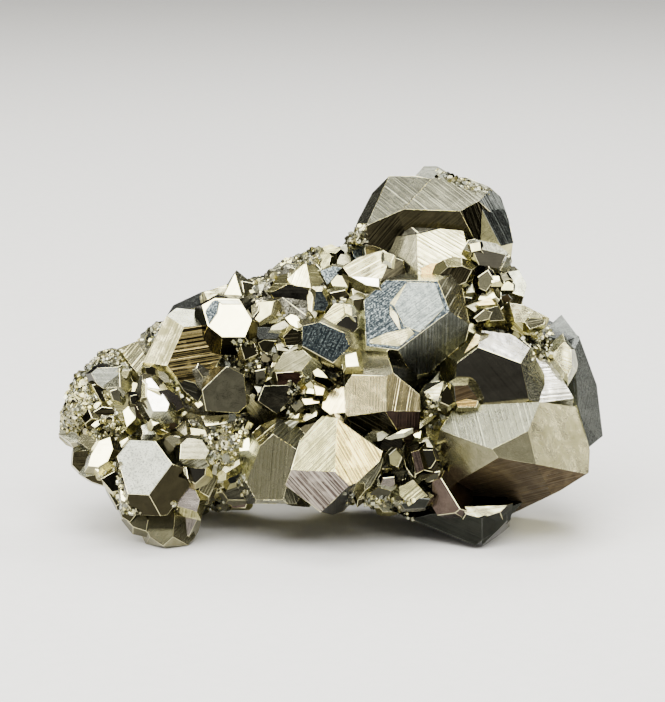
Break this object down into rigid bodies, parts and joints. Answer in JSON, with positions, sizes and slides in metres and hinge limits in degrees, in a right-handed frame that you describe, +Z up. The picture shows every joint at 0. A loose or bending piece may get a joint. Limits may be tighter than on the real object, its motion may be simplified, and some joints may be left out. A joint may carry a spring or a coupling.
{
  "type": "pyrite crystal cluster",
  "caption": "Natural cluster of intergrown, many-faced pyrite crystals on a base of massive pyrite, with a raised crown at one end and small flats that it stands on.",
  "frame": {"origin": "middle of the specimen's bounding box, at the level that it stands on", "axes": "+X towards the end with the largest crystal and the raised crown, -Y towards the side that is seen in the picture, +Z up"},
  "size_m": [0.0904, 0.0494, 0.0582],
  "materials": {
    "pyrite": "metallic, pale brass-yellow, striated crystal faces"
  },
  "bodies": {
    "root": {"pyrite_cluster": "pyrite"}
  },
  "joints": []
}
